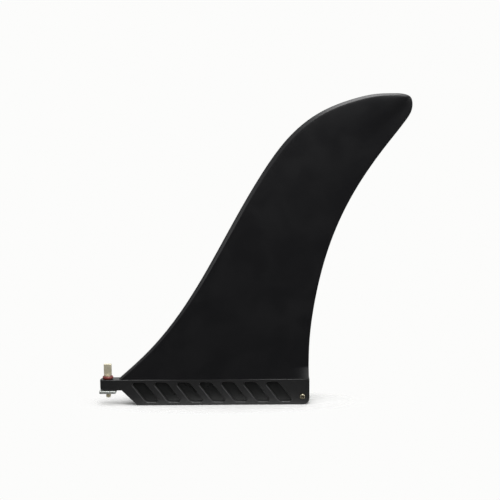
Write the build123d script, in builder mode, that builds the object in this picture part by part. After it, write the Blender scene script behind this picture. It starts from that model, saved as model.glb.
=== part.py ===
from build123d import *
from math import radians, sqrt, tan
import os

# A moulded centre fin for a slotted fin box, with its cross pin and its thumb screw set.
# Lengths are in millimetres. X runs from the nose of the base to its rear, Z is up,
# and the origin is the middle of the flat bottom of the base.

# Base that slides into the box
base_length = 140.0
base_depth = 21.4
base_thickness = 9.3
rear_corner_radius = 5.0
base_edge_break = 0.3

# Tab at the front of the base, with the screw hole
tab_reach = 30.4
tab_thickness = 8.8
tab_end_flat = 0.1
nose_slope = 45.0
hole_diameter = 5.0
hole_from_end = 6.5

# Recesses that lighten the base on both sides
pocket_count = 7
pocket_pitch = 18.1
pocket_width = 11.6
pocket_height = 16.4
pocket_slant = 37.5
pocket_depth = 2.2
pocket_draft = 30.0
pocket_sharp_radius = 1.0
pocket_round_radius = 5.0
pocket_row_shift = -9.2
pocket_row_lift = 0.2

# Pin pressed across the base
pin_diameter = 4.0
pin_length = 12.7
pin_from_rear = 5.7
pin_height = 7.0
pin_chamfer = 0.4
pin_dimple_diameter = 1.4
pin_dimple_depth = 0.5
hole_chamfer = 0.35

# Outline of the blade from its root to its tip, measured from the upper rear corner of the base
root_ledge = 0.35
nose_from_hole = 8.6
leading_points = [(-131.5, 21.8), (-104.3, 54.7), (-65.4, 119.6), (-35.3, 170.4), (-16.0, 195.5)]
crown_points = [(5.2, 212.6), (36.3, 225.1), (50.5, 228.0), (64.0, 228.6), (73.9, 227.9)]
trailing_points = [(0.0, 27.5), (5.1, 67.2), (17.3, 112.7), (35.0, 151.0), (60.6, 188.7)]
heel_points = [(75.0, 207.3), (79.2, 214.3), (80.2, 220.1)]
tip_point = (78.4, 225.8)

# Foil of the blade
tip_thickness = 4.6
tail_thickness = 1.3
flare_height = 10.0
flare_power = 3.0
thickest_share = 0.32
root_nose = 2.2
blade_nose = 8.5
root_bluntness = 0.95
blade_bluntness = 0.8
blunt_share = 0.16
belly_reach = 0.5
tail_reach = 0.25
tail_fullness = 0.4
closing_share = 0.86
flare_stations = [0, 0.004, 0.011, 0.022, 0.04]
blade_steps = 13
tip_crowding = 1.6

# Thumb screw
thread_diameter = 4.0
screw_length = 15.6
screw_tip_chamfer = 0.6
neck_diameter = 4.2
thumb_width = 6.2
thumb_height = 10.0
thumb_thickness = 2.6
thumb_corner_radius = 0.6
thumb_edge_break = 0.3

# Rubber ring under the thumb head
ring_section = 2.3
ring_clearance = 0.15

# Threaded plate under the tab
plate_length = 13.4
plate_width = 12.2
plate_thickness = 2.1
plate_corner_radius = 1.0
plate_edge_break = 0.25
plate_clearance = 0.25
thread_clearance = 0.05

# Places worked out from the sizes above
base_front = -base_length / 2
base_rear = base_length / 2
tab_end = base_front - tab_reach
tab_underside = base_depth - tab_thickness
slope_run = tab_underside / tan(radians(nose_slope))
hole_x = tab_end + hole_from_end
pin_x = base_rear - pin_from_rear
root_thickness = base_thickness - 2 * root_ledge
root_front = hole_x + nose_from_hole - base_rear
root_rear = -root_ledge

ring_underside = base_depth + ring_clearance
ring_height = ring_underside + ring_section / 2
ring_radius = (neck_diameter + ring_section) / 2
shoulder_height = ring_underside + ring_section
shoulder_rise = (thumb_width - neck_diameter) / 2
thumb_top = shoulder_height + thumb_height
screw_tip = ring_underside - screw_length
plate_top = tab_underside - plate_clearance

# Side face of the base, seen from the left, with its origin in the middle of the row of recesses
side_face = Plane(
    origin=(pocket_row_shift, -base_thickness / 2, base_depth / 2 + pocket_row_lift),
    x_dir=(1, 0, 0),
    z_dir=(0, -1, 0),
)

# Planes through the axis of the pin and through the axis of the screw, both seen from the left
pin_plane = Plane(origin=(pin_x, 0, pin_height), x_dir=(1, 0, 0), z_dir=(0, -1, 0))
screw_plane = Plane(origin=(hole_x, 0, 0), x_dir=(1, 0, 0), z_dir=(0, -1, 0))

os.makedirs("parts", exist_ok=True)


# The two edges of the blade in the plane of symmetry, each from the root to the tip
def blade_edges():
    leading = Spline((root_front, 0), *leading_points, *crown_points, tip_point)
    trailing = Spline((root_rear, 0), *trailing_points, *heel_points, tip_point)
    return leading, trailing


leading_edge, trailing_edge = blade_edges()


# Value between two others at a share from 0 to 1
def between(start, end, share):
    return start + (end - start) * min(max(share, 0), 1)


# Vertical plane across the blade with its X along the chord, and the length of that chord
def station_plane(share):
    front = leading_edge @ share
    rear = trailing_edge @ share
    chord = Vector(rear.X - front.X, 0, rear.Y - front.Y)
    origin = Vector(base_rear + front.X, 0, base_depth + front.Y)
    across = Vector(0, 1, 0)
    return Plane(origin=origin, x_dir=chord, z_dir=chord.cross(across)), chord.length


# Shares of the way up the blade where it has a section, closer together near the tip
def blade_stations():
    steps = range(1, blade_steps)
    return flare_stations + [1 - (1 - step / blade_steps) ** tip_crowding for step in steps]


# Foil at a station: thick and blunt at the root, thin at the tip, closing round the tip
def foil(share):
    plane, chord = station_plane(share)
    closing = between(0, 1, (share - closing_share) / (1 - closing_share))
    rounding = sqrt(1 - closing**2)
    half = between(root_thickness, tip_thickness, share) * rounding / 2
    flare = between(1, 0, (trailing_edge @ share).Y / flare_height) ** flare_power
    half_tail = between(tail_thickness * rounding / 2, root_thickness / 2, flare)
    thickest = thickest_share * chord
    nose = min(between(root_nose, blade_nose, share / blunt_share), thickest / 2)
    bluntness = between(root_bluntness, blade_bluntness, share / blunt_share)
    run = chord - thickest
    with BuildSketch(plane) as section:
        with BuildLine():
            Bezier((0, 0), (0, bluntness * half), (nose, half), (thickest, half))
            Bezier(
                (thickest, half),
                (thickest + belly_reach * run, half),
                (chord - tail_reach * run, between(half_tail, half, tail_fullness)),
                (chord, half_tail),
            )
            mirror(about=Plane.XZ)
            Line((chord, half_tail), (chord, -half_tail))
        make_face()
    return section.sketch


# Outline of one recess, sharp at its upper front and lower rear corners
def pocket_outline():
    lean = pocket_height * tan(radians(pocket_slant)) / 2
    half_width = pocket_width / 2
    half_height = pocket_height / 2
    with BuildSketch() as outline:
        with BuildLine():
            Polyline(
                (-lean - half_width, half_height),
                (-lean + half_width, half_height),
                (lean + half_width, -half_height),
                (lean - half_width, -half_height),
                close=True,
            )
        make_face()
        fillet(vertices().sort_by(Axis.X)[1:3], pocket_round_radius)
        fillet([vertices().sort_by(Axis.X)[0], vertices().sort_by(Axis.X)[-1]], pocket_sharp_radius)
    return outline.sketch


with BuildPart() as fin_body:
    # Base and tab from the side, square across the whole thickness
    with BuildSketch(Plane.XZ):
        with BuildLine():
            Polyline(
                (base_front, 0),
                (base_rear, 0),
                (base_rear, base_depth),
                (tab_end, base_depth),
                (tab_end, tab_underside),
                (base_front - slope_run, tab_underside),
                close=True,
            )
        make_face()
        fillet(vertices().group_by(Axis.Y)[0].sort_by(Axis.X)[-1], rear_corner_radius)
    extrude(amount=base_thickness / 2, both=True)

    # Base and tab from above, with the end of the tab rounded
    with BuildSketch():
        with Locations(((tab_end + base_rear) / 2, 0)):
            Rectangle(base_rear - tab_end, base_thickness)
        fillet(vertices().sort_by(Axis.X)[:2], base_thickness / 2 - tab_end_flat / 2)
    extrude(amount=base_depth, mode=Mode.INTERSECT)

    # Softened edges along both sides and round the end of the tab
    lengthwise_edges = edges().filter_by(Axis.Y, reverse=True).filter_by(Axis.Z, reverse=True)
    rear_edges = edges().filter_by(Axis.Z).group_by(Axis.X)[-1]
    chamfer(lengthwise_edges + rear_edges, base_edge_break)

    # Hole for the thumb screw
    with Locations((hole_x, 0, base_depth)):
        Hole(hole_diameter / 2)
    chamfer(edges(Select.LAST).filter_by(GeomType.CIRCLE), hole_chamfer)

    # Hole for the pin
    with Locations(pin_plane):
        Hole(pin_diameter / 2)
    chamfer(edges(Select.LAST).filter_by(GeomType.CIRCLE), hole_chamfer)

    # Recesses with drafted walls, the same on both sides
    with BuildSketch(side_face) as recesses:
        with GridLocations(pocket_pitch, pocket_pitch, pocket_count, 1):
            add(pocket_outline())
    cut = extrude(amount=-pocket_depth, taper=pocket_draft, mode=Mode.SUBTRACT)
    mirror(cut, about=Plane.XZ, mode=Mode.SUBTRACT)

    # Blade
    loft([foil(share).face() for share in blade_stations()])

fin_body.part.label = "fin_body"
export_step(fin_body.part, "parts/fin_body.step")


with BuildPart() as cross_pin:
    with BuildSketch(pin_plane):
        Circle(pin_diameter / 2)
    extrude(amount=pin_length / 2, both=True)
    chamfer(edges().filter_by(GeomType.CIRCLE), pin_chamfer)
    # Shallow dimple in each end
    for end in faces().filter_by(Axis.Y):
        with Locations(Plane(end)):
            Hole(pin_dimple_diameter / 2, pin_dimple_depth)

cross_pin.part.label = "cross_pin"
export_step(cross_pin.part, "parts/cross_pin.step")


with BuildPart() as thumb_screw:
    # Flat thumb head, narrowing to the neck through sloping shoulders
    with BuildSketch(screw_plane):
        with BuildLine():
            Polyline(
                (neck_diameter / 2, shoulder_height),
                (thumb_width / 2, shoulder_height + shoulder_rise),
                (thumb_width / 2, thumb_top),
                (-thumb_width / 2, thumb_top),
                (-thumb_width / 2, shoulder_height + shoulder_rise),
                (-neck_diameter / 2, shoulder_height),
                close=True,
            )
        make_face()
        fillet(vertices().group_by(Axis.Y)[-1], thumb_corner_radius)
    extrude(amount=thumb_thickness / 2, both=True)
    chamfer(faces().filter_by(Axis.Y).edges(), thumb_edge_break)

    # Neck, up into the head
    with BuildSketch(Plane.XY.offset(ring_underside)):
        with Locations((hole_x, 0)):
            Circle(neck_diameter / 2)
    extrude(amount=shoulder_height + shoulder_rise - ring_underside)

    # Shank
    with BuildSketch(Plane.XY.offset(screw_tip)):
        with Locations((hole_x, 0)):
            Circle(thread_diameter / 2)
    extrude(amount=screw_length)
    chamfer(edges().sort_by(Axis.Z)[0], screw_tip_chamfer)

thumb_screw.part.label = "thumb_screw"
export_step(thumb_screw.part, "parts/thumb_screw.step")


with BuildPart() as o_ring:
    # Round on the outside and pressed flat against the neck, the head and the tab
    with BuildSketch(screw_plane):
        with Locations((ring_radius, ring_height)):
            Circle(ring_section / 2)
        with Locations(((neck_diameter / 2 + ring_radius) / 2, ring_height)):
            Rectangle(ring_section / 2, ring_section)
    revolve(axis=Axis((hole_x, 0, 0), (0, 0, 1)))

o_ring.part.label = "o_ring"
export_step(o_ring.part, "parts/o_ring.step")


with BuildPart() as lock_plate:
    with BuildSketch(Plane.XY.offset(plate_top - plate_thickness)):
        with Locations((hole_x, 0)):
            RectangleRounded(plate_length, plate_width, plate_corner_radius)
    extrude(amount=plate_thickness)
    chamfer(faces().filter_by(Plane.XY).edges(), plate_edge_break)
    with Locations((hole_x, 0, plate_top)):
        Hole(thread_diameter / 2 + thread_clearance)

lock_plate.part.label = "lock_plate"
export_step(lock_plate.part, "parts/lock_plate.step")
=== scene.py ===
"""Finishes a moulded surfboard fin and its thumb screw set, around the CAD model of them."""

import math

import bmesh
import bpy
import numpy as np
from mathutils import Matrix, Vector


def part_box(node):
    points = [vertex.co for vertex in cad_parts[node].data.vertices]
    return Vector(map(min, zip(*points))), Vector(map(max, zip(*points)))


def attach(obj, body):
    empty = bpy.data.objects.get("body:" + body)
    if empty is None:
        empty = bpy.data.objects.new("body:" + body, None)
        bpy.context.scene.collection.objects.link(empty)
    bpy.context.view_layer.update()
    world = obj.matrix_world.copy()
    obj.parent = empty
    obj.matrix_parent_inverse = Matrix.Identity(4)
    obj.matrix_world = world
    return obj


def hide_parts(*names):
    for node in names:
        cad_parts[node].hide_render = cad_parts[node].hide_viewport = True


bl_info = {
    "name": "Surfboard Fin",
    "version": (1, 0, 0),
    "blender": (4, 5, 0),
    "location": "3D View > Sidebar > Fin",
    "description": "Finishes a moulded surfboard fin with its cross pin and thumb screw set",
    "category": "Object",
}

MM = 0.001
SMALLEST_RADIUS = 0.2 * MM
MERGE_DISTANCE = 0.001 * MM
# How far a cutter stands out of the surface that it cuts
CUT_PAST = 0.5 * MM
# Faces that meet at more than this many degrees keep a crisp edge
CRISP_ANGLE = 35
QUARTER_STEPS = 8
ROUND_STEPS = 64

# Outline of the blade in millimetres, from the upper rear corner of the base: the leading edge
# from its root to the tip, then the trailing edge from the tip back to its root
LEADING_OUTLINE = [
    (-155.3, 0.0),
    (-131.5, 21.8),
    (-104.3, 54.7),
    (-65.4, 119.6),
    (-35.3, 170.4),
    (-16.0, 195.5),
    (5.2, 212.6),
    (36.3, 225.1),
    (50.5, 228.0),
    (64.0, 228.6),
    (73.9, 227.9),
    (78.4, 225.8),
]
TRAILING_OUTLINE = [
    (80.2, 220.1),
    (79.2, 214.3),
    (75.0, 207.3),
    (60.6, 188.7),
    (35.0, 151.0),
    (17.3, 112.7),
    (5.1, 67.2),
    (0.0, 27.5),
    (-0.4, 0.0),
]
OUTLINE_SAMPLES = 1600

# Camera of the photograph, solved from the outline of the fin
CAMERA_PLACE = (0.022417, -0.820352, 0.257474)
CAMERA_PITCH = math.radians(9.05)
CAMERA_ROLL = math.radians(-0.37)
CAMERA_LENS = 74.88
CAMERA_SENSOR = 36.0

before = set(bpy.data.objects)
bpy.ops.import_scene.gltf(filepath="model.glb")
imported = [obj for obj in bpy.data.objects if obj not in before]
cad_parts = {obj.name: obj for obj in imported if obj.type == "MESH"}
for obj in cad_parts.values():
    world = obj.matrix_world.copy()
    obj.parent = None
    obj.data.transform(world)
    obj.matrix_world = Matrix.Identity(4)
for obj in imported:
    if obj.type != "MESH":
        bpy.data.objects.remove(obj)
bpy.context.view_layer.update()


# Sizes and colours


def colour_property(name, description, colour):
    return bpy.props.FloatVectorProperty(
        name=name, description=description, subtype="COLOR", size=3, default=colour
    )


def length_property(name, description, millimetres):
    return bpy.props.FloatProperty(
        name=name, description=description, unit="LENGTH", default=millimetres * MM
    )


def angle_property(name, description, degrees):
    return bpy.props.FloatProperty(
        name=name, description=description, subtype="ANGLE", default=math.radians(degrees)
    )


def share_property(name, description, share):
    return bpy.props.FloatProperty(name=name, description=description, default=share, min=0.0)


def power_property(name, description, watts):
    return bpy.props.FloatProperty(name=name, description=description, unit="POWER", default=watts)


class FinBladeSettings(bpy.types.PropertyGroup):
    """Foil of the blade"""

    root_thickness: length_property("Root Thickness", "Thickness of the blade at the base", 9.1)
    tip_thickness: length_property("Tip Thickness", "Thickness of the blade near its tip", 4.6)
    tail_thickness: length_property("Tail Thickness", "Thickness of the round trailing edge", 1.5)
    tail_length: length_property("Tail Length", "Where the foil closes, from its rear", 16.0)
    flare_height: length_property("Flare Height", "Height of the flare at the root's rear", 9.3)
    flare_power: share_property("Flare Curve", "How much of the flare lies low down", 1.0)
    nose_share: share_property("Nose Length", "Nose near the tip, by half thickness", 1.0)
    nose_root_share: share_property("Root Nose", "Nose at the root, the same way", 0.45)
    nose_growth: share_property("Nose Growth", "How soon up the blade the nose is long", 1.6)
    nose_limit: share_property("Nose Limit", "Greatest length of the nose, by chord", 0.2)
    nose_bluntness: share_property("Nose Bluntness", "How round the very front is", 0.35)
    bevel_reach: share_property("Bevel Reach", "End of the bevel along the nose", 0.62)
    bevel_rise: share_property("Bevel Rise", "Thickness of the nose there, by shoulder", 0.7)
    shoulder_share: share_property("Shoulder", "Thickness behind the nose, by full one", 0.86)
    belly_fullness: share_property("Belly Fullness", "How full the foil is behind its nose", 1.1)
    belly_reach: share_property("Belly Reach", "Length of the belly's handles, by its run", 0.3)
    tail_share: share_property("Tail Shoulder", "Thickness ahead of the tail, by full one", 0.55)
    tail_root_share: share_property("Root Tail", "Thickness there at the root, the same way", 0.97)
    tail_thinning: share_property("Tail Thinning", "How soon up the blade the tail is thin", 3.0)
    tail_limit: share_property("Tail Limit", "Greatest length of the tail, by chord", 0.3)
    tail_fullness: share_property("Tail Fullness", "How gently the tail turns into its flare", 0.4)
    closing_share: share_property("Tip Closing", "Share of the way up where the tip closes", 0.965)


class FinBaseSettings(bpy.types.PropertyGroup):
    """Base, tab and recesses"""

    length: length_property("Base Length", "Length of the base without its tab", 140.0)
    depth: length_property("Base Depth", "Height of the base", 21.4)
    tab_thickness: length_property("Tab Thickness", "Height of the tab with the screw hole", 8.8)
    nose_slope: angle_property("Nose Slope", "Slope of the front of the base under the tab", 45)
    rear_corner_radius: length_property("Rear Corner", "Radius of the lower rear corner", 5.0)
    lower_break: length_property("Lower Edge Radius", "Radius along the lower and rear edges", 0.7)
    upper_break: length_property("Upper Edge Radius", "Radius along the upper edges", 0.45)
    tab_break: length_property("Tab Edge Radius", "Radius round the end of the tab", 1.2)
    hole_diameter: length_property("Screw Hole", "Diameter of the hole for the thumb screw", 5.0)
    hole_break: length_property("Screw Hole Edge", "Width of the chamfer of the screw hole", 0.35)
    pin_gap: length_property("Pin Gap", "Width of the tapered gap round the ends of the pin", 0.55)
    pin_gap_steepness: share_property("Gap Steepness", "Depth of that gap against its width", 2.5)
    pin_clearance: length_property("Pin Clearance", "Space between the pin and its hole", 0.02)
    pocket_count: bpy.props.IntProperty(
        name="Recesses", description="Number of recesses on each side", default=7, min=0
    )
    pocket_pitch: length_property("Recess Pitch", "Distance from one recess to the next", 18.1)
    pocket_width: length_property("Recess Width", "Width of a recess along the base", 11.6)
    pocket_height: length_property("Recess Height", "Height of a recess", 16.4)
    pocket_slant: angle_property("Recess Slant", "Slant of a recess from upright", 37.5)
    pocket_depth: length_property("Recess Depth", "Depth of a recess", 2.2)
    pocket_draft: angle_property("Recess Draft", "Draft of the walls of a recess", 14)
    pocket_lip: length_property("Recess Rim", "Radius along the rim of a recess", 0.6)
    pocket_tight_radius: length_property("Tight Corner", "Radius of the two tight corners", 1.8)
    pocket_wide_radius: length_property("Wide Corner", "Radius of the two wide corners", 5.0)
    pocket_row_shift: length_property("Row Shift", "Middle of the row along the base", -9.2)
    pocket_row_lift: length_property("Row Lift", "Middle of the row above the base's middle", 0.2)


class FinMouldingSettings(bpy.types.PropertyGroup):
    """Black moulded nylon of the blade and its base"""

    colour: colour_property("Nylon Colour", "Colour of the blade", (0.0085, 0.0085, 0.0098))
    bloom_colour: colour_property(
        "Bloom Colour", "Colour of the faint clouds that the mould leaves", (0.0100, 0.0100, 0.0112)
    )
    # Painted reflection: the whole base is coloured lighter than the blade to stand in for the pale
    # floor that its faces reflect
    base_reflection_colour: colour_property(
        "Base Colour", "Colour of the rougher nylon of the base", (0.022, 0.022, 0.0225)
    )
    # Painted shade: the recess floors are coloured darker than the rest of the base where shade
    # falls in the recesses; their smoother polish is real
    recess_shade_colour: colour_property(
        "Recess Colour", "Colour of the smooth floors of the recesses", (0.014, 0.0145, 0.0145)
    )
    worn_colour: colour_property(
        "Worn Edge Colour", "Colour of the nylon where its edges are rubbed", (0.035, 0.035, 0.036)
    )
    roughness: share_property("Roughness", "Roughness of the nylon", 0.35)
    bloom_roughness: share_property("Bloom Roughness", "Roughness of the faint clouds", 0.41)
    recess_polish: share_property("Recess Polish", "How much smoother the recess floors are", 0.08)
    grain_size: length_property("Grain Size", "Size of the pebbles of the mould's texture", 0.35)
    grain_depth: length_property("Grain Depth", "Depth of the mould's texture", 0.012)
    cloud_size: length_property("Cloud Size", "Size of the faint clouds", 28)
    edge_width: length_property("Worn Edge Width", "How far the rubbed look reaches", 0.45)


class FinHardwareSettings(bpy.types.PropertyGroup):
    """Pin, screw, ring and plate"""

    brass_colour: colour_property("Brass Colour", "Colour of the turned pin", (0.42, 0.38, 0.28))
    rubbed_colour: colour_property("Rubbed Brass", "Colour of the pin's edges", (0.62, 0.56, 0.42))
    tarnish_colour: colour_property(
        "Tarnish Colour", "Colour of the brown film on the pin", (0.17, 0.11, 0.06)
    )
    tarnish_radius: length_property("Tarnish Radius", "Where the brown ring on the pin starts", 0.7)
    tarnish_width: length_property("Tarnish Width", "Width over which it comes and goes", 0.45)
    groove_spacing: length_property("Turning Marks", "Distance between the marks of turning", 0.22)
    groove_depth: length_property("Mark Depth", "Depth of the marks of turning", 0.006)
    steel_colour: colour_property("Steel Colour", "Colour of the thumb screw", (0.88, 0.82, 0.62))
    plate_colour: colour_property("Plate Colour", "Colour of the tumbled plate", (0.60, 0.63, 0.60))
    rubber_colour: colour_property("Rubber Colour", "Colour of the ring", (0.20, 0.030, 0.025))
    thread_pitch: length_property("Thread Pitch", "Advance of the screw in one turn", 0.7)
    thread_depth: length_property("Thread Depth", "Height of the thread from root to crest", 0.42)
    thread_diameter: length_property("Thread Diameter", "Diameter over the crests", 4.0)
    tip_chamfer: length_property("Tip Chamfer", "Chamfer at the end of the screw", 0.6)
    neck_diameter: length_property("Neck Diameter", "Diameter of the neck inside the ring", 4.2)
    neck_overlap: length_property("Neck Overlap", "How far neck, head and thread overlap", 1.0)
    thumb_thickness: length_property("Thumb Thickness", "Thickness of the flat thumb head", 2.6)
    thumb_corner_radius: length_property("Thumb Corner", "Radius of the head's upper corners", 0.6)
    thumb_break: length_property("Thumb Edge", "Radius along the edges of the head", 0.35)
    ring_flash: length_property("Mould Line", "Height of the mould line round the ring", 0.03)
    ring_inner_radius: length_property("Ring Inside", "Radius of the ring's inner corners", 0.45)


class FinStudioSettings(bpy.types.PropertyGroup):
    """Floor, lamps and room"""

    backdrop_colour: colour_property(
        "Backdrop Colour", "Colour of the background behind the fin", (0.973, 0.973, 0.965)
    )
    floor_colour: colour_property("Floor Colour", "Colour of the pale floor", (0.90, 0.90, 0.893))
    floor_radius: length_property("Floor Radius", "Radius of the floor", 300)
    fade_start: length_property("Floor Fade Start", "Where the floor starts to fade, sideways", 70)
    fade_end: length_property("Floor Fade End", "Where the floor is gone, sideways", 125)
    fade_narrowing: share_property("Floor Narrowing", "How much sooner it fades to the front", 3.7)
    fade_shift: length_property("Floor Shift", "How far behind the fin the fade is centred", 5)
    sky_level: share_property("Room Light", "Strength of the even light from all round", 0.32)
    front_level: share_property("Dark Front", "Brightness of the front where gloss shows it", 0.035)
    left_level: share_property("Dim Left", "Brightness of the left where gloss shows it", 0.2)
    low_level: share_property("Low Down", "Brightness low down where gloss shows it", 0.25)
    high_level: share_property("High Up", "Brightness high up where gloss shows it", 1.3)
    overhead_power: power_property("Overhead Lamp", "Power of the lamp above the fin", 5.6)
    front_power: power_property("Front Lamp", "Power of the lamp above the camera", 1.7)
    left_power: power_property("Left Lamp", "Power of the lamp on the left", 0.6)
    right_power: power_property("Right Lamp", "Power of the lamp on the right", 1.26)


class FinSettings(bpy.types.PropertyGroup):
    """All sizes and colours of the fin"""

    blade: bpy.props.PointerProperty(type=FinBladeSettings)
    base: bpy.props.PointerProperty(type=FinBaseSettings)
    moulding: bpy.props.PointerProperty(type=FinMouldingSettings)
    hardware: bpy.props.PointerProperty(type=FinHardwareSettings)
    studio: bpy.props.PointerProperty(type=FinStudioSettings)


def settings():
    return bpy.context.scene.fin_settings


# Node helpers


def add_node(tree, kind, **values):
    node = tree.nodes.new(kind)
    for key, value in values.items():
        setattr(node, key, value)
    return node


def feed(tree, socket, value):
    """Links a node's output to a socket, or sets the socket to a plain value."""
    if isinstance(value, bpy.types.NodeSocket):
        tree.links.new(value, socket)
    else:
        socket.default_value = value


def math_node(tree, operation, *values):
    node = add_node(tree, "ShaderNodeMath", operation=operation)
    for socket, value in zip(node.inputs, values):
        feed(tree, socket, value)
    return node.outputs["Value"]


def vector_node(tree, operation, *values):
    node = add_node(tree, "ShaderNodeVectorMath", operation=operation)
    for socket, value in zip(node.inputs, values):
        feed(tree, socket, value)
    return node.outputs["Value" if operation in ("LENGTH", "DOT_PRODUCT") else "Vector"]


def ramp(tree, value, start, end, low=0.0, high=1.0, kind="SMOOTHSTEP"):
    """Value that goes from low to high while the given one goes from start to end."""
    node = add_node(tree, "ShaderNodeMapRange", interpolation_type=kind)
    feed(tree, node.inputs["Value"], value)
    for name, number in (("From Min", start), ("From Max", end), ("To Min", low), ("To Max", high)):
        node.inputs[name].default_value = number
    return node.outputs["Result"]


def between(tree, mask, low, high):
    return ramp(tree, mask, 0.0, 1.0, low, high, "LINEAR")


def object_place(tree):
    return add_node(tree, "ShaderNodeTexCoord").outputs["Object"]


def noise(tree, place, size, **values):
    """Noise with spots of about a size, which is a number or a socket."""
    fixed = not isinstance(size, bpy.types.NodeSocket)
    node = add_node(tree, "ShaderNodeTexNoise")
    feed(tree, node.inputs["Vector"], place)
    feed(tree, node.inputs["Scale"], 1 / size if fixed else math_node(tree, "DIVIDE", 1.0, size))
    for name, value in values.items():
        node.inputs[name].default_value = value
    return node.outputs["Fac"]


def mix_colour(tree, mask, first, second):
    node = add_node(tree, "ShaderNodeMix", data_type="RGBA")
    factor, colours, mixed = node.inputs[0], node.inputs[6:8], node.outputs[2]
    feed(tree, factor, mask)
    for socket, value in zip(colours, (first, second)):
        feed(tree, socket, value if isinstance(value, bpy.types.NodeSocket) else (*value, 1.0))
    return mixed


def bump(tree, height, depth, shader):
    node = add_node(tree, "ShaderNodeBump")
    node.inputs["Distance"].default_value = depth
    feed(tree, node.inputs["Height"], height)
    feed(tree, shader["Normal"], node.outputs["Normal"])


def new_group(name, inputs, outputs):
    """Empty shader node group with float sockets, given as (name, default) pairs and names."""
    group = bpy.data.node_groups.new(name, "ShaderNodeTree")
    for socket_name, default in inputs:
        socket = group.interface.new_socket(
            socket_name, in_out="INPUT", socket_type="NodeSocketFloat"
        )
        socket.default_value = default
    for socket_name in outputs:
        group.interface.new_socket(socket_name, in_out="OUTPUT", socket_type="NodeSocketFloat")
    given = group.nodes.new("NodeGroupInput").outputs
    return group, given, group.nodes.new("NodeGroupOutput").inputs


def grain_group():
    """Fine pebbled height of a mould's texture or a tumbled surface, and a slow cloudy mask."""
    name = "mould_grain"
    if name in bpy.data.node_groups:
        return bpy.data.node_groups[name]
    group, given, result = new_group(
        name, [("Size", 0.35 * MM), ("Cloud Size", 25 * MM)], ["Height", "Clouds"]
    )
    cloud_start, cloud_full = 0.35, 0.68
    place = object_place(group)
    pebbles = noise(group, place, given["Size"], Detail=2.0, Roughness=0.55)
    clouds = noise(group, place, given["Cloud Size"], Detail=4.0, Distortion=0.6)
    feed(group, result["Height"], pebbles)
    feed(group, result["Clouds"], ramp(group, clouds, cloud_start, cloud_full))
    return group


def edge_group():
    """Mask that is 1 along edges and fades over a width, broken up by noise."""
    name = "rubbed_edges"
    if name in bpy.data.node_groups:
        return bpy.data.node_groups[name]
    group, given, result = new_group(
        name, [("Width", 0.5 * MM), ("Breakup Size", 3 * MM)], ["Mask"]
    )
    bend_start, bend_full = 0.01, 0.16
    rounded = add_node(group, "ShaderNodeBevel", samples=4)
    feed(group, rounded.inputs["Radius"], given["Width"])
    plain = add_node(group, "ShaderNodeNewGeometry").outputs["Normal"]
    turn = vector_node(group, "DOT_PRODUCT", rounded.outputs["Normal"], plain)
    bend = ramp(group, math_node(group, "SUBTRACT", 1.0, turn), bend_start, bend_full)
    patches = noise(group, object_place(group), given["Breakup Size"], Detail=3.0)
    feed(group, result["Mask"], math_node(group, "MULTIPLY", bend, patches))
    return group


def base_group():
    """Mask of the floors of the recesses, and mask of everything below the top of the base."""
    name = "base_zones"
    if name in bpy.data.node_groups:
        return bpy.data.node_groups[name]
    group, given, result = new_group(
        name, [("Floor Level", 2 * MM), ("Base Height", 21 * MM)], ["Recess Floors", "Base"]
    )
    above_floor, inside_floor = 0.2 * MM, 1.0 * MM
    split = add_node(group, "ShaderNodeSeparateXYZ")
    feed(group, split.inputs["Vector"], object_place(group))
    across = math_node(group, "ABSOLUTE", split.outputs["Y"])
    limit = math_node(group, "ADD", given["Floor Level"], above_floor)
    deep = math_node(group, "LESS_THAN", across, limit)
    outside = math_node(group, "GREATER_THAN", across, inside_floor)
    low = math_node(group, "LESS_THAN", split.outputs["Z"], given["Base Height"])
    floor = math_node(group, "MULTIPLY", deep, outside)
    feed(group, result["Recess Floors"], math_node(group, "MULTIPLY", floor, low))
    feed(group, result["Base"], low)
    return group


def place_group(tree, group, **values):
    node = add_node(tree, "ShaderNodeGroup", node_tree=group)
    for key, value in values.items():
        node.inputs[key.replace("_", " ")].default_value = value
    return node.outputs


def new_material(name):
    """Material with a Principled shader, as (material, tree, shader inputs)."""
    material = bpy.data.materials.new(name)
    material.use_nodes = True
    tree = material.node_tree
    return material, tree, tree.nodes["Principled BSDF"].inputs


# Materials


def nylon_material():
    values, base = settings().moulding, settings().base
    half = base_places()[3]
    material, tree, shader = new_material("black_nylon")
    grain = place_group(
        tree, grain_group(), Size=values.grain_size, Cloud_Size=values.cloud_size
    )
    edges = place_group(tree, edge_group(), Width=values.edge_width, Breakup_Size=2.5 * MM)
    places = place_group(
        tree, base_group(), Floor_Level=half - base.pocket_depth, Base_Height=base.depth
    )
    clouded = mix_colour(tree, grain["Clouds"], values.colour, values.bloom_colour)
    # Painted reflection: everything below the top of the base is lightened as if it mirrored the
    # pale floor
    with_base_reflection = mix_colour(tree, places["Base"], clouded, values.base_reflection_colour)
    # Painted shade: the recess floors are darkened where shade falls in them
    with_recess_shade = mix_colour(tree, places["Recess Floors"], with_base_reflection, values.recess_shade_colour)
    worn = mix_colour(tree, edges["Mask"], with_recess_shade, values.worn_colour)
    moulded = between(tree, grain["Clouds"], values.roughness, values.bloom_roughness)
    polish = math_node(tree, "MULTIPLY", places["Recess Floors"], values.recess_polish)
    feed(tree, shader["Base Color"], worn)
    feed(tree, shader["Roughness"], math_node(tree, "SUBTRACT", moulded, polish))
    bump(tree, grain["Height"], values.grain_depth, shader)
    return material


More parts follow.
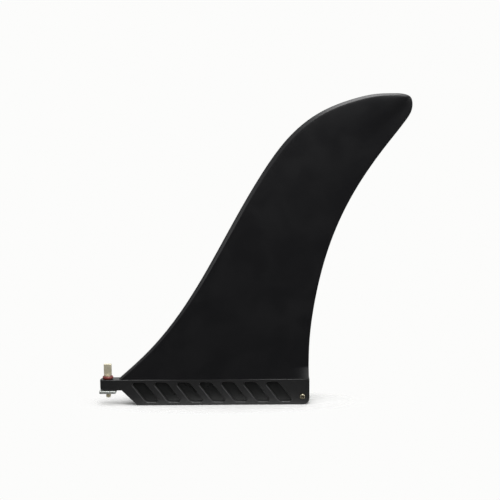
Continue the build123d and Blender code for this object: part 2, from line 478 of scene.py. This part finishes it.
def brass_material(axis_x, axis_z):
    """Turned brass with a brown ring, about an axis across the fin."""
    smoothest, roughest = 0.32, 0.5
    values = settings().hardware
    material, tree, shader = new_material("turned_brass")
    centred = vector_node(tree, "SUBTRACT", object_place(tree), (axis_x, 0.0, axis_z))
    radius = vector_node(tree, "LENGTH", vector_node(tree, "MULTIPLY", centred, (1.0, 0.0, 1.0)))
    turning = math_node(tree, "MULTIPLY", radius, 2 * math.pi / values.groove_spacing)
    grain = place_group(tree, grain_group(), Size=0.15 * MM, Cloud_Size=1.6 * MM)
    edges = place_group(tree, edge_group(), Width=0.3 * MM, Breakup_Size=0.8 * MM)
    darkest = values.tarnish_radius + values.tarnish_width
    comes = ramp(tree, radius, values.tarnish_radius, darkest)
    goes = ramp(tree, radius, darkest, darkest + values.tarnish_width)
    film = math_node(tree, "SUBTRACT", comes, goes)
    tarnished = mix_colour(tree, film, values.brass_colour, values.tarnish_colour)
    rubbed = mix_colour(tree, edges["Mask"], tarnished, values.rubbed_colour)
    feed(tree, shader["Base Color"], rubbed)
    shader["Metallic"].default_value = 1.0
    feed(tree, shader["Roughness"], between(tree, grain["Clouds"], smoothest, roughest))
    bump(tree, math_node(tree, "SINE", turning), values.groove_depth, shader)
    return material


def steel_material(name, colour, roughness, streak_axis, metallic):
    """Stainless steel with fine brushing along one axis."""
    streak_width, streak_depth, stretch = 0.12 * MM, 0.004 * MM, 0.06
    cloud_shade, edge_shine = 0.82, 1.15
    smoothest, roughest = roughness - 0.06, roughness + 0.10
    material, tree, shader = new_material(name)
    scale = [stretch if axis == streak_axis else 1.0 for axis in range(3)]
    stretched = vector_node(tree, "MULTIPLY", object_place(tree), scale)
    streaks = noise(tree, stretched, streak_width, Detail=3.0)
    grain = place_group(tree, grain_group(), Size=0.2 * MM, Cloud_Size=3.5 * MM)
    edges = place_group(tree, edge_group(), Width=0.3 * MM, Breakup_Size=1.5 * MM)
    darker = [channel * cloud_shade for channel in colour]
    lighter = [min(channel * edge_shine, 1.0) for channel in colour]
    clouded = mix_colour(tree, grain["Clouds"], colour, darker)
    feed(tree, shader["Base Color"], mix_colour(tree, edges["Mask"], clouded, lighter))
    shader["Metallic"].default_value = metallic
    feed(tree, shader["Roughness"], between(tree, streaks, smoothest, roughest))
    bump(tree, streaks, streak_depth, shader)
    return material


def rubber_material():
    cloud_shade, grain_depth = 0.6, 0.01 * MM
    smoothest, roughest = 0.38, 0.5
    colour = settings().hardware.rubber_colour
    material, tree, shader = new_material("red_rubber")
    grain = place_group(tree, grain_group(), Size=0.25 * MM, Cloud_Size=2.5 * MM)
    darker = [channel * cloud_shade for channel in colour]
    feed(tree, shader["Base Color"], mix_colour(tree, grain["Clouds"], colour, darker))
    feed(tree, shader["Roughness"], between(tree, grain["Clouds"], smoothest, roughest))
    bump(tree, grain["Height"], grain_depth, shader)
    return material


def finish_node(node_name, material):
    """Gives a carried-over CAD piece its material."""
    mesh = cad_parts[node_name].data
    mesh.materials.clear()
    mesh.materials.append(material)


# Mesh helpers


def new_object(name, edit_mesh, material, crisp_angle=CRISP_ANGLE):
    mesh = bpy.data.meshes.new(name)
    edit_mesh.to_mesh(mesh)
    edit_mesh.free()
    mesh.materials.append(material)
    piece = bpy.data.objects.new(name, mesh)
    bpy.context.scene.collection.objects.link(piece)
    mesh.shade_smooth()
    mesh.set_sharp_from_angle(angle=math.radians(crisp_angle))
    return piece


def apply_modifier(piece, modifier):
    with bpy.context.temp_override(object=piece, active_object=piece):
        bpy.ops.object.modifier_apply(modifier=modifier.name)


def combine(piece, operation, edit_mesh):
    """Joins a closed mesh to a piece, or cuts it away."""
    other = new_object(piece.name + "_tool", edit_mesh, piece.data.materials[0])
    modifier = piece.modifiers.new("combine", "BOOLEAN")
    modifier.operation = operation
    modifier.object = other
    modifier.solver = "EXACT"
    apply_modifier(piece, modifier)
    bpy.data.meshes.remove(other.data)


def finish_shading(piece):
    """Smooth shading that keeps the flat faces flat and the corners crisp."""
    piece.data.shade_smooth()
    piece.data.set_sharp_from_angle(angle=math.radians(CRISP_ANGLE))
    modifier = piece.modifiers.new("flat_faces", "WEIGHTED_NORMAL")
    modifier.keep_sharp = True
    apply_modifier(piece, modifier)


def upright_axis(node_name):
    """X and Y of the middle of a CAD node, and its lowest and highest Z."""
    low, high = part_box(node_name)
    return (low.x + high.x) / 2, (low.y + high.y) / 2, low.z, high.z


def quarter(centre_x, centre_z, radius, start, steps=QUARTER_STEPS):
    """Quarter circle of points, counter-clockwise from the start angle in degrees."""
    angles = [math.radians(start + 90 * step / steps) for step in range(steps + 1)]
    return [
        (centre_x + radius * math.cos(angle), centre_z + radius * math.sin(angle))
        for angle in angles
    ]


def bridge(edit_mesh, rings):
    """Closes a row of rings with the same number of vertices into a solid."""
    count = len(rings[0])
    for ring, next_ring in zip(rings, rings[1:]):
        for index in range(count):
            after = (index + 1) % count
            edit_mesh.faces.new((ring[index], ring[after], next_ring[after], next_ring[index]))
    edit_mesh.faces.new(rings[0][::-1])
    edit_mesh.faces.new(rings[-1])
    bmesh.ops.recalc_face_normals(edit_mesh, faces=edit_mesh.faces)


def turned(points, segments, centre_x, centre_y):
    """Solid of revolution about an upright axis, from (radius, height) points of a closed loop."""
    edit_mesh = bmesh.new()
    rings = []
    for step in range(segments):
        angle = 2 * math.pi * step / segments
        across, along = math.cos(angle), math.sin(angle)
        rings.append(
            [
                edit_mesh.verts.new((centre_x + radius * across, centre_y + radius * along, height))
                for radius, height in points
            ]
        )
    count = len(points)
    for step in range(segments):
        here, there = rings[step], rings[(step + 1) % segments]
        for index in range(count):
            after = (index + 1) % count
            edit_mesh.faces.new((here[index], there[index], there[after], here[after]))
    bmesh.ops.recalc_face_normals(edit_mesh, faces=edit_mesh.faces)
    return edit_mesh


def close_axis(edit_mesh):
    """Joins the points that a turned solid has on its axis."""
    bmesh.ops.remove_doubles(edit_mesh, verts=edit_mesh.verts, dist=MERGE_DISTANCE)


def cubic(start, first, second, end, steps):
    """Points on a cubic curve, without its end."""
    shares = [step / steps for step in range(steps)]
    return [
        tuple(
            a * (1 - t) ** 3 + 3 * b * t * (1 - t) ** 2 + 3 * c * t**2 * (1 - t) + d * t**3
            for a, b, c, d in zip(start, first, second, end)
        )
        for t in shares
    ]


def blend(low, high, share):
    return low + (high - low) * min(max(share, 0.0), 1.0)


# Blade and base


class FinStep:
    """Shared by the operators"""

    bl_options = {"REGISTER", "UNDO"}


class FIN_OT_body(FinStep, bpy.types.Operator):
    """Adds the blade and its base as one black moulding"""

    bl_idname = "fin.body"
    bl_label = "Blade and Base"

    def execute(self, context):
        moulding = new_object("fin_moulding", base_solid(), nylon_material())
        combine(moulding, "UNION", blade_solid())
        combine(moulding, "DIFFERENCE", pocket_cutters())
        combine(moulding, "DIFFERENCE", screw_hole_cutter())
        combine(moulding, "DIFFERENCE", pin_hole_cutter())
        finish_shading(moulding)
        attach(moulding, "fin")
        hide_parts("fin_body")
        return {"FINISHED"}


def base_places():
    """Front, rear and tab end of the base along X, with its half thickness."""
    values = settings().base
    low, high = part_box("fin_body")
    return -values.length / 2, values.length / 2, low.x, (high.y - low.y) / 2


def base_outline(across):
    """Outline of the base from the side, at a distance from the plane of symmetry."""
    values = settings().base
    front, rear, tab_end, half = base_places()

    def inset_of(radius):
        over = min(max(across - (half - radius), 0.0), radius)
        return radius - math.sqrt(radius**2 - over**2)

    inset, upper_inset = inset_of(values.lower_break), inset_of(values.upper_break)
    top = values.depth - upper_inset
    underside = values.depth - values.tab_thickness + inset
    slant_shift = inset * (1 - math.cos(values.nose_slope)) / math.sin(values.nose_slope)
    slope_run = (values.depth - values.tab_thickness) / math.tan(values.nose_slope)
    end = tab_end + half - math.sqrt(half**2 - across**2)
    upper_radius = max(values.tab_break - upper_inset, SMALLEST_RADIUS)
    under_radius = max(values.tab_break - inset, SMALLEST_RADIUS)
    corner = values.rear_corner_radius
    rear -= inset
    return [
        (front + slant_shift, inset),
        *quarter(rear + inset - corner, corner, corner - inset, -90),
        *quarter(rear - SMALLEST_RADIUS, top - SMALLEST_RADIUS, SMALLEST_RADIUS, 0),
        *quarter(end + upper_radius, top - upper_radius, upper_radius, 90),
        *quarter(end + under_radius, underside + under_radius, under_radius, 180),
        (front - slope_run + slant_shift, underside),
    ]


def base_solid():
    """Base with its tab, as outlines side by side across its thickness."""
    steps = 36
    half = base_places()[3]
    edit_mesh = bmesh.new()
    rings = []
    for step in range(steps + 1):
        across = half * math.sin(math.radians(90 - 180 * step / steps))
        outline = base_outline(abs(across))
        rings.append([edit_mesh.verts.new((x, -across, z)) for x, z in outline])
    bridge(edit_mesh, rings)
    return edit_mesh


def smooth_curve(points, samples):
    """Even samples of a natural cubic spline through points, and the number at each point."""
    places = np.array(points)
    spans = np.linalg.norm(np.diff(places, axis=0), axis=1)
    knots = np.concatenate(([0.0], np.cumsum(spans)))
    system, wanted = np.eye(len(knots)), np.zeros_like(places)
    for index in range(1, len(knots) - 1):
        before, after = spans[index - 1], spans[index]
        system[index, index - 1 : index + 2] = before, 2 * (before + after), after
        slope_after = (places[index + 1] - places[index]) / after
        wanted[index] = 6 * (slope_after - (places[index] - places[index - 1]) / before)
    bends = np.linalg.solve(system, wanted)
    at = np.linspace(0.0, knots[-1], samples)
    span = np.clip(np.searchsorted(knots, at, side="right") - 1, 0, len(spans) - 1)
    far = ((at - knots[span]) / spans[span])[:, None]
    near = 1 - far
    bend = (near**3 - near) * bends[span] + (far**3 - far) * bends[span + 1]
    curve = near * places[span] + far * places[span + 1] + bend * spans[span][:, None] ** 2 / 6
    return curve, knots / knots[-1] * (samples - 1)


def lengths_along(curve):
    steps = np.linalg.norm(np.diff(curve, axis=0), axis=1)
    return np.concatenate(([0.0], np.cumsum(steps)))


def place_along(curve, share):
    """Place at a share of the length of a curve."""
    lengths = lengths_along(curve)
    return np.array([np.interp(share * lengths[-1], lengths, curve[:, axis]) for axis in range(2)])


def blade_edges():
    """Leading and trailing edge from root to tip, in metres from the base's upper rear corner."""
    outline, numbers = smooth_curve(LEADING_OUTLINE + TRAILING_OUTLINE, OUTLINE_SAMPLES)
    tip = int(round(numbers[len(LEADING_OUTLINE) - 1]))
    return outline[: tip + 1] * MM, outline[tip:][::-1] * MM


def foil_side(share, chord, height):
    """One side of a foil from nose to tail: distance along the chord and half thickness."""
    nose_steps, belly_steps, tail_steps, edge_steps = 12, 16, 12, 4
    values = settings().blade
    closing = blend(0.0, 1.0, (share - values.closing_share) / (1 - values.closing_share))
    rounding = math.sqrt(1 - closing**2)
    half = blend(values.root_thickness, values.tip_thickness, share) * rounding / 2
    flare = blend(1.0, 0.0, height / values.flare_height) ** values.flare_power
    plain_tail = values.tail_thickness * rounding / 2
    half_tail = blend(plain_tail, values.root_thickness / 2, flare)

    nose_length = blend(values.nose_root_share, values.nose_share, share * values.nose_growth)
    nose = min(nose_length * half, values.nose_limit * chord)
    shoulder = values.shoulder_share * half
    tail = min(values.tail_length, values.tail_limit * chord)
    end = chord - min(plain_tail, tail / 2)
    tail_start = end - tail
    tail_shoulder = blend(values.tail_root_share, values.tail_share, share * values.tail_thinning)
    half_start = tail_shoulder * half
    reach = values.belly_reach * (tail_start - nose)
    fall = (half - half_start) / reach

    points = cubic(
        (0, 0),
        (0, shoulder * values.nose_bluntness),
        (nose * values.bevel_reach, shoulder * values.bevel_rise),
        (nose, shoulder),
        nose_steps,
    )
    points += cubic(
        (nose, shoulder),
        (nose + reach, values.belly_fullness * half),
        (tail_start - reach, half),
        (tail_start, half_start),
        belly_steps,
    )
    points += cubic(
        (tail_start, half_start),
        (tail_start + tail / 3, half_start - fall * tail / 3),
        (end - tail / 3, blend(half_tail, half_start, values.tail_fullness)),
        (end, half_tail),
        tail_steps,
    )
    for step in range(edge_steps + 1):
        angle = math.radians(90 * step / edge_steps)
        sunk = plain_tail * (1 - math.cos(angle))
        points.append((end + (chord - end) * math.sin(angle), half_tail - sunk))
    return points


def blade_solid():
    """Blade as a row of foils that fan from the root to the tip, sunk a little into the base."""
    # The foils stand closer together over the flare, a little past its top, and near the tip
    flare_steps, flare_margin, steps, crowding = 14, 1.3, 72, 2.2
    values, base = settings().blade, settings().base
    leading, trailing = blade_edges()
    origin = Vector((base.length / 2, 0.0, base.depth))
    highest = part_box("fin_body")[1]
    dense = flare_margin * values.flare_height / float(lengths_along(trailing)[-1])
    shares = [dense * step / flare_steps for step in range(flare_steps)]
    shares += [dense + (1 - dense) * (1 - (1 - step / steps) ** crowding) for step in range(steps)]
    edit_mesh = bmesh.new()
    rings = []
    for share in shares:
        front, rear = place_along(leading, share), place_along(trailing, share)
        chord = float(np.linalg.norm(rear - front))
        along = (rear - front) / chord
        side = foil_side(share, chord, float(rear[1]))
        ring = []
        for direction, points in ((1, side), (-1, side[:0:-1])):
            for distance, half in points:
                x = origin.x + front[0] + along[0] * distance
                z = origin.z + front[1] + along[1] * distance
                place = (min(x, highest.x), direction * half, min(z, highest.z))
                ring.append(edit_mesh.verts.new(place))
        if not rings:
            sunk = Vector((0, 0, base.upper_break * 2))
            rings.append([edit_mesh.verts.new(vertex.co - sunk) for vertex in ring])
        rings.append(ring)
    bridge(edit_mesh, rings)
    return edit_mesh


def rounded_loop(corners, radii, inset):
    """Loop of points round a convex outline that is moved inwards, with each corner rounded."""
    points = []
    count = len(corners)
    for index, (corner, radius) in enumerate(zip(corners, radii)):
        before, after = Vector(corners[index - 1]), Vector(corners[(index + 1) % count])
        here = Vector(corner)
        incoming, outgoing = (here - before).normalized(), (after - here).normalized()
        inwards = (outgoing - incoming).normalized()
        slimness = abs(inwards.cross(outgoing))
        kept = max(radius - inset, SMALLEST_RADIUS)
        centre = here + inwards * (inset + kept) / slimness
        start = Vector((incoming.y, -incoming.x))
        turn = math.atan2(incoming.cross(outgoing), incoming.dot(outgoing))
        for step in range(QUARTER_STEPS + 1):
            spoke = Matrix.Rotation(turn * step / QUARTER_STEPS, 2) @ start
            points.append(centre + spoke * kept)
    return points


def pocket_profile():
    """Wall of a recess from its round rim to its floor, as (depth, inset) pairs."""
    rim_steps = 4
    values = settings().base
    lip = values.pocket_lip
    profile = [(-CUT_PAST, -lip)]
    for step in range(1, rim_steps + 1):
        angle = math.radians(90 * step / rim_steps)
        profile.append((lip * (1 - math.cos(angle)), lip * (math.sin(angle) - 1)))
    floor_inset = (values.pocket_depth - lip) * math.tan(values.pocket_draft)
    return [*profile, (values.pocket_depth, floor_inset)]


def pocket_cutters():
    """Tapered blocks that cut the recesses into both sides of the base."""
    values = settings().base
    half = base_places()[3]
    lean = values.pocket_height * math.tan(values.pocket_slant) / 2
    half_width, half_height = values.pocket_width / 2, values.pocket_height / 2
    corners = [
        (-lean - half_width, half_height),
        (lean - half_width, -half_height),
        (lean + half_width, -half_height),
        (-lean + half_width, half_height),
    ]
    radii = (values.pocket_tight_radius, values.pocket_wide_radius) * 2
    loops = [(depth, rounded_loop(corners, radii, inset)) for depth, inset in pocket_profile()]
    middle_z = values.depth / 2 + values.pocket_row_lift
    edit_mesh = bmesh.new()
    for number in range(values.pocket_count):
        steps = number - (values.pocket_count - 1) / 2
        middle_x = values.pocket_row_shift + steps * values.pocket_pitch
        for side in (-1, 1):
            rings = []
            for depth, loop in loops:
                y = side * (half - depth)
                places = [(middle_x + point.x, y, middle_z + point.y) for point in loop]
                rings.append([edit_mesh.verts.new(place) for place in places])
            bridge(edit_mesh, rings)
    return edit_mesh


def bore_cutter(radius, chamfer, steepness, low, high):
    """Upright cutter for a hole whose ends widen by a chamfer, this many times deeper than wide."""
    wide = radius + chamfer + CUT_PAST / steepness
    deep = chamfer * steepness
    points = [(0, low - CUT_PAST), (wide, low - CUT_PAST), (radius, low + deep)]
    points += [(radius, high - deep), (wide, high + CUT_PAST), (0, high + CUT_PAST)]
    edit_mesh = turned(points, ROUND_STEPS, 0.0, 0.0)
    close_axis(edit_mesh)
    return edit_mesh


def screw_hole_cutter():
    values = settings().base
    x, y, _, _ = upright_axis("thumb_screw")
    underside = values.depth - values.tab_thickness
    radius = values.hole_diameter / 2
    edit_mesh = bore_cutter(radius, values.hole_break, 1.0, underside, values.depth)
    bmesh.ops.translate(edit_mesh, verts=edit_mesh.verts, vec=(x, y, 0.0))
    return edit_mesh


def pin_hole_cutter():
    values = settings().base
    low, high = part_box("cross_pin")
    half = base_places()[3]
    radius = (high.x - low.x) / 2 + values.pin_clearance
    edit_mesh = bore_cutter(radius, values.pin_gap, values.pin_gap_steepness, -half, half)
    across = Matrix.Rotation(math.radians(90), 4, "X")
    place = Matrix.Translation((low + high) / 2) @ across
    bmesh.ops.transform(edit_mesh, matrix=place, verts=edit_mesh.verts)
    return edit_mesh


# Pin, screw, ring and plate


class FIN_OT_cross_pin(FinStep, bpy.types.Operator):
    """Finishes the cross pin in turned brass"""

    bl_idname = "fin.cross_pin"
    bl_label = "Cross Pin"

    def execute(self, context):
        low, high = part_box("cross_pin")
        finish_node("cross_pin", brass_material((low.x + high.x) / 2, (low.z + high.z) / 2))
        return {"FINISHED"}


class FIN_OT_thumb_screw(FinStep, bpy.types.Operator):
    """Adds the thumb screw with its real thread"""

    bl_idname = "fin.thumb_screw"
    bl_label = "Thumb Screw"

    def execute(self, context):
        x, y, bottom, top = upright_axis("thumb_screw")
        colour = settings().hardware.steel_colour
        steel = steel_material("satin_steel", colour, roughness=0.42, streak_axis=2, metallic=0.35)
        piece = new_object("thumb_screw_threaded", thumb_head(x, y, top), steel)
        combine(piece, "UNION", neck_solid(x, y))
        combine(piece, "UNION", threaded_shank(x, y, bottom))
        finish_shading(piece)
        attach(piece, "screw")
        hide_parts("thumb_screw")
        return {"FINISHED"}


def neck_solid(x, y):
    """Round neck that passes through the rubber ring, up into the head."""
    values = settings().hardware
    ring_low, ring_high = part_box("o_ring")
    radius = values.neck_diameter / 2
    bottom, top = ring_low.z, ring_high.z + values.neck_overlap
    points = [(0, bottom), (radius, bottom), (radius, top), (0, top)]
    edit_mesh = turned(points, ROUND_STEPS, x, y)
    close_axis(edit_mesh)
    return edit_mesh


def threaded_shank(x, y, bottom):
    """Shank with a helical thread up into the neck and a chamfered tip."""
    around, spare_turns = 48, 3
    values = settings().hardware
    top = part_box("o_ring")[0].z + values.neck_overlap
    pitch = values.thread_pitch
    crest = values.thread_diameter / 2
    root = crest - values.thread_depth
    tip = crest - values.tip_chamfer
    # Shares of the pitch and radii: the flat root, the rise, the flat crest and the fall
    profile = [(0.0, root), (0.14, root), (0.42, crest), (0.58, crest), (0.86, root)]
    count = len(profile)
    turns = math.ceil((top - bottom) / pitch) + spare_turns
    edit_mesh = bmesh.new()
    columns = []
    for step in range(around):
        angle = 2 * math.pi * step / around
        column = []
        for turn in range(turns):
            for share, radius in profile:
                height = bottom + (turn - 2 + share + step / around) * pitch
                radius = min(radius, tip + max(height - bottom, 0.0))
                place = (x + radius * math.cos(angle), y + radius * math.sin(angle), height)
                column.append(edit_mesh.verts.new(place))
        columns.append(column)
    for step in range(around):
        here, there = columns[step], columns[(step + 1) % around]
        shift = count if step == around - 1 else 0
        for index in range(turns * count - 1 - count):
            lower, upper = there[index + shift], there[index + 1 + shift]
            edit_mesh.faces.new((here[index], lower, upper, here[index + 1]))
    for height, direction in ((bottom, -1), (top, 1)):
        cut = bmesh.ops.bisect_plane(
            edit_mesh,
            geom=edit_mesh.verts[:] + edit_mesh.edges[:] + edit_mesh.faces[:],
            plane_co=(0, 0, height),
            plane_no=(0, 0, direction),
            clear_outer=True,
        )
        rim = [item for item in cut["geom_cut"] if isinstance(item, bmesh.types.BMEdge)]
        bmesh.ops.holes_fill(edit_mesh, edges=rim, sides=0)
    loose = [vertex for vertex in edit_mesh.verts if not vertex.link_faces]
    bmesh.ops.delete(edit_mesh, geom=loose, context="VERTS")
    bmesh.ops.recalc_face_normals(edit_mesh, faces=edit_mesh.faces)
    return edit_mesh


def thumb_head(x, y, top):
    """Flat head with rounded corners and shoulders that slope to a round neck."""
    corner_steps, edge_steps, nearly = 6, 4, MERGE_DISTANCE
    values = settings().hardware
    node_low, node_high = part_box("thumb_screw")
    half_width = (node_high.x - node_low.x) / 2
    neck = values.neck_diameter / 2
    thickness = values.thumb_thickness
    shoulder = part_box("o_ring")[1].z
    slope_top = shoulder + half_width - neck
    corner = values.thumb_corner_radius
    outline = [
        (-neck, shoulder),
        (neck, shoulder),
        (half_width, slope_top),
        *quarter(half_width - corner, top - corner, corner, 0, corner_steps),
        *quarter(corner - half_width, top - corner, corner, 90, corner_steps),
        (-half_width, slope_top),
    ]
    edit_mesh = bmesh.new()
    front_y = y - thickness / 2
    front = [edit_mesh.verts.new((x + across, front_y, height)) for across, height in outline]
    face = edit_mesh.faces.new(front)
    pushed = bmesh.ops.extrude_face_region(edit_mesh, geom=[face])
    moved = [item for item in pushed["geom"] if isinstance(item, bmesh.types.BMVert)]
    bmesh.ops.translate(edit_mesh, verts=moved, vec=(0, thickness, 0))
    bmesh.ops.recalc_face_normals(edit_mesh, faces=edit_mesh.faces)
    outer_edges = [
        edge
        for edge in edit_mesh.edges
        if abs(edge.verts[0].co.y - edge.verts[1].co.y) < nearly
        and min(vertex.co.z for vertex in edge.verts) > shoulder + nearly
    ]
    bmesh.ops.bevel(
        edit_mesh,
        geom=outer_edges,
        offset=values.thumb_break,
        segments=edge_steps,
        profile=0.5,
        affect="EDGES",
    )
    return edit_mesh


class FIN_OT_o_ring(FinStep, bpy.types.Operator):
    """Adds the red rubber ring with its fine mould line"""

    bl_idname = "fin.o_ring"
    bl_label = "Rubber Ring"

    def execute(self, context):
        round_steps, around, crisp_angle = 24, 96, 50
        values = settings().hardware
        x, y, bottom, top = upright_axis("o_ring")
        low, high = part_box("o_ring")
        outer = (high.x - low.x) / 2
        half = (top - bottom) / 2
        inner = values.neck_diameter / 2
        corner = values.ring_inner_radius
        points = []
        for step in range(round_steps + 1):
            angle = math.radians(-90 + 180 * step / round_steps)
            flash = values.ring_flash if step == round_steps / 2 else 0.0
            bulge = (half - values.ring_flash + flash) * math.cos(angle)
            points.append((outer - half + bulge, (top + bottom) / 2 + half * math.sin(angle)))
        points += quarter(inner + corner, top - corner, corner, 90)
        points += quarter(inner + corner, bottom + corner, corner, 180)
        ring = turned(points, around, x, y)
        piece = new_object("o_ring_moulded", ring, rubber_material(), crisp_angle)
        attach(piece, "screw")
        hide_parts("o_ring")
        return {"FINISHED"}


class FIN_OT_lock_plate(FinStep, bpy.types.Operator):
    """Finishes the threaded plate in tumbled steel"""

    bl_idname = "fin.lock_plate"
    bl_label = "Lock Plate"

    def execute(self, context):
        colour = settings().hardware.plate_colour
        steel = steel_material("tumbled_steel", colour, roughness=0.3, streak_axis=0, metallic=0.5)
        finish_node("lock_plate", steel)
        return {"FINISHED"}


# Studio


class FIN_OT_studio(FinStep, bpy.types.Operator):
    """Adds the floor, the lamps, the room and the camera"""

    bl_idname = "fin.studio"
    bl_label = "Studio"

    def execute(self, context):
        add_floor()
        add_lamps()
        light_room()
        add_camera()
        context.scene.view_settings.view_transform = "Standard"
        return {"FINISHED"}


def add_floor():
    """Pale floor that fades into the background."""
    values = settings().studio
    material, tree, shader = new_material("studio_floor")
    shader["Base Color"].default_value = (*values.floor_colour, 1.0)
    shader["Roughness"].default_value = 0.9
    shader["Specular IOR Level"].default_value = 0.0
    centred = vector_node(tree, "SUBTRACT", object_place(tree), (0.0, values.fade_shift, 0.0))
    narrowed = vector_node(tree, "MULTIPLY", centred, (1.0, values.fade_narrowing, 1.0))
    distance = vector_node(tree, "LENGTH", narrowed)
    fade = ramp(tree, distance, values.fade_start, values.fade_end, 1.0, 0.0)
    feed(tree, shader["Alpha"], fade)
    edit_mesh = bmesh.new()
    bmesh.ops.create_circle(
        edit_mesh, cap_ends=True, radius=values.floor_radius, segments=ROUND_STEPS
    )
    floor = new_object("studio_floor", edit_mesh, material)


def add_lamps():
    """Large soft lamps above, in front of and on both sides of the fin."""
    values = settings().studio
    middle = Vector((0.02, 0.0, 0.1))
    lamps = [
        ("overhead_softbox", (0.07, -0.14, 0.9), 0.6, values.overhead_power),
        ("front_softbox", (0.1, -0.68, 0.8), 0.6, values.front_power),
        ("left_softbox", (-0.75, -0.25, 0.35), 0.4, values.left_power),
        ("right_softbox", (0.75, -0.25, 0.35), 0.4, values.right_power),
    ]
    for name, place, diameter, power in lamps:
        lamp = bpy.data.lights.new(name, "AREA")
        lamp.shape = "DISK"
        lamp.size = diameter
        lamp.energy = power
        holder = bpy.data.objects.new(name, lamp)
        holder.location = place
        holder.rotation_euler = (middle - Vector(place)).to_track_quat("-Z", "Y").to_euler()
        bpy.context.scene.collection.objects.link(holder)


def light_room():
    """Even light from all round, a pale background, and the darker room that gloss reflects."""
    values = settings().studio
    world = bpy.data.worlds.new("studio_room")
    bpy.context.scene.world = world
    world.use_nodes = True
    tree = world.node_tree
    rays = add_node(tree, "ShaderNodeLightPath").outputs
    direction = add_node(tree, "ShaderNodeSeparateXYZ")
    coordinates = add_node(tree, "ShaderNodeTexCoord").outputs["Generated"]
    feed(tree, direction.inputs["Vector"], coordinates)
    # A direction has length 1: X to the right, Y away from the camera, Z up
    x, y, z = (direction.outputs[axis] for axis in "XYZ")
    towards_front = ramp(tree, y, -0.75, 0.05, values.front_level)
    downwards = ramp(tree, z, -0.05, 0.2, values.low_level)
    upwards = ramp(tree, z, 0.2, 0.6, 0.0, values.high_level)
    towards_left = ramp(tree, x, -0.9, 0.1, values.left_level)
    walls = math_node(tree, "MULTIPLY", towards_front, downwards)
    room = math_node(tree, "MULTIPLY", math_node(tree, "MAXIMUM", walls, upwards), towards_left)
    reflected = math_node(tree, "MULTIPLY", rays["Is Glossy Ray"], room)
    seen = math_node(tree, "MAXIMUM", rays["Is Camera Ray"], rays["Is Transmission Ray"])
    shown = math_node(tree, "MAXIMUM", seen, reflected)
    special = math_node(tree, "MAXIMUM", seen, rays["Is Glossy Ray"])
    others = math_node(tree, "SUBTRACT", 1.0, special)
    light = math_node(tree, "MULTIPLY", others, values.sky_level)
    background = tree.nodes["Background"]
    background.inputs["Color"].default_value = (*values.backdrop_colour, 1.0)
    feed(tree, background.inputs["Strength"], math_node(tree, "ADD", shown, light))


def add_camera():
    """Camera where the photograph was taken from."""
    forward = Vector((0.0, math.cos(CAMERA_PITCH), -math.sin(CAMERA_PITCH)))
    level = Vector((1.0, 0.0, 0.0))
    upright = Vector((0.0, math.sin(CAMERA_PITCH), math.cos(CAMERA_PITCH)))
    right = level * math.cos(CAMERA_ROLL) + upright * math.sin(CAMERA_ROLL)
    up = upright * math.cos(CAMERA_ROLL) - level * math.sin(CAMERA_ROLL)
    camera = bpy.data.cameras.new("photo_camera")
    camera.lens = CAMERA_LENS
    camera.sensor_width = CAMERA_SENSOR
    camera.clip_start = 0.01
    holder = bpy.data.objects.new("photo_camera", camera)
    turn = Matrix((right, up, -forward)).transposed().to_4x4()
    holder.matrix_world = Matrix.Translation(CAMERA_PLACE) @ turn
    bpy.context.scene.collection.objects.link(holder)
    bpy.context.scene.camera = holder


# Panel and registration


class FIN_PT_sidebar(bpy.types.Panel):
    """Lists the steps that finish the fin, with their sizes and colours"""

    bl_idname = "FIN_PT_sidebar"
    bl_label = "Surfboard Fin"
    bl_space_type = "VIEW_3D"
    bl_region_type = "UI"
    bl_category = "Fin"

    def draw(self, context):
        values = context.scene.fin_settings
        for part in values.__annotations__:
            group = getattr(values, part)
            box = self.layout.box()
            box.label(text=part.title())
            for key in group.__annotations__:
                box.prop(group, key)
        for operator in OPERATORS:
            self.layout.operator(operator.bl_idname)


OPERATORS = (
    FIN_OT_body,
    FIN_OT_cross_pin,
    FIN_OT_thumb_screw,
    FIN_OT_o_ring,
    FIN_OT_lock_plate,
    FIN_OT_studio,
)
CLASSES = (
    FinBladeSettings,
    FinBaseSettings,
    FinMouldingSettings,
    FinHardwareSettings,
    FinStudioSettings,
    FinSettings,
    *OPERATORS,
    FIN_PT_sidebar,
)


def register():
    for entry in CLASSES:
        bpy.utils.register_class(entry)
    bpy.types.Scene.fin_settings = bpy.props.PointerProperty(type=FinSettings)


def unregister():
    del bpy.types.Scene.fin_settings
    for entry in reversed(CLASSES):
        bpy.utils.unregister_class(entry)


def main():
    register()
    bpy.ops.fin.body()
    bpy.ops.fin.cross_pin()
    bpy.ops.fin.thumb_screw()
    bpy.ops.fin.o_ring()
    bpy.ops.fin.lock_plate()
    bpy.ops.fin.studio()


if __name__ == "__main__":
    main()
